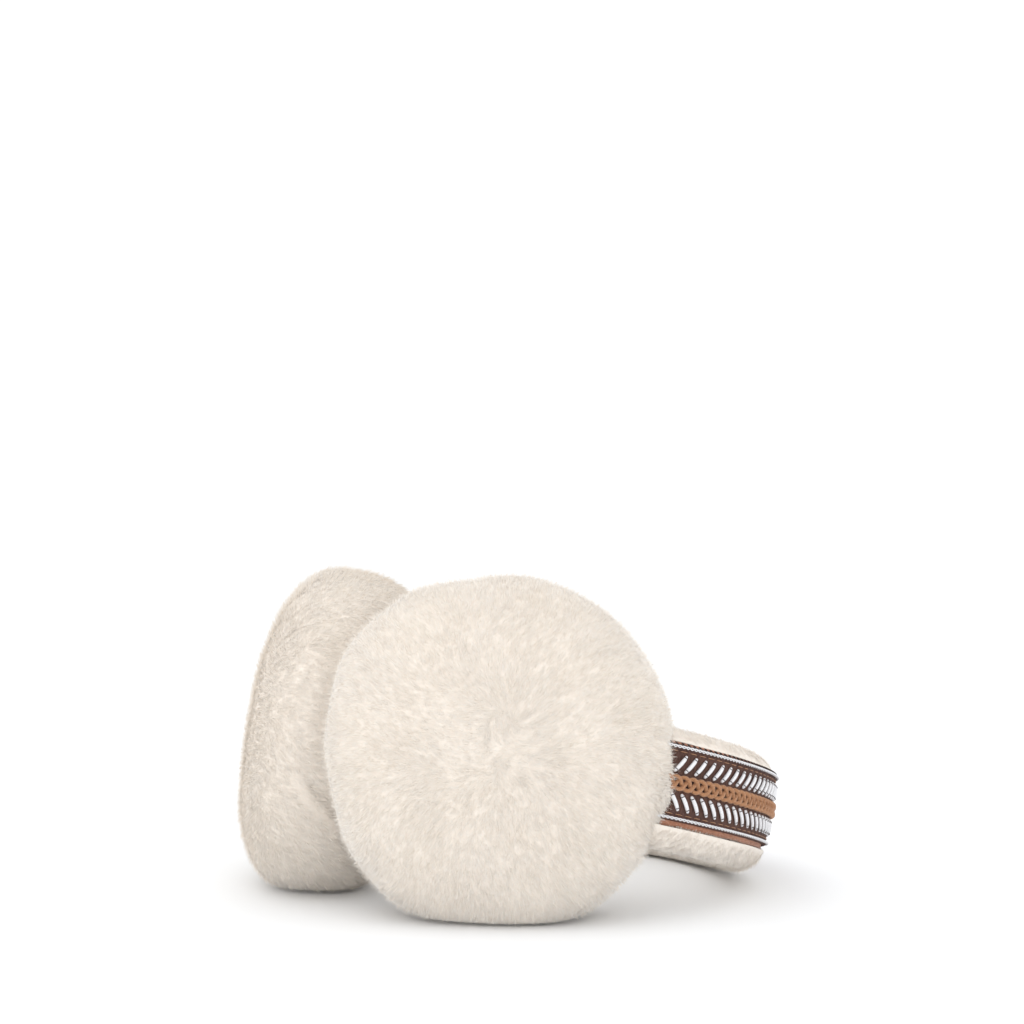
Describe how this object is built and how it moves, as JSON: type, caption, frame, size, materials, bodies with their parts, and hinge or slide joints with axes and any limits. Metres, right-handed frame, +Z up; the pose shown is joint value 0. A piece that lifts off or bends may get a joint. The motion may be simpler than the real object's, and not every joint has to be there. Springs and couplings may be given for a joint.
{
  "type": "fur earmuffs",
  "caption": "Sprung fur headband with a round fur ear pad on each end and a ribbon with corded edges along its outside, lying at rest.",
  "frame": {"origin": "bottom centre of the part's box, on the surface it lies on", "axes": "+X across the two pads, +Y from the pads to the top of the headband, +Z up"},
  "size_m": [0.1672, 0.1616, 0.095],
  "materials": {
    "cream_fur": "deep soft cream shearling fur",
    "rust_suede": "rust brown suede with a raw cut edge",
    "brown_ribbon": "dark brown cross-ribbed woven ribbon with white and tan stitching",
    "white_cord": "white twisted cotton cord"
  },
  "bodies": {
    "root": {"ear_pad_right": "cream_fur", "ear_pad_left": "cream_fur", "band_fur": "cream_fur", "band_suede": "rust_suede", "band_ribbon": "brown_ribbon", "cord_upper": "white_cord", "cord_lower": "white_cord"}
  },
  "joints": []
}
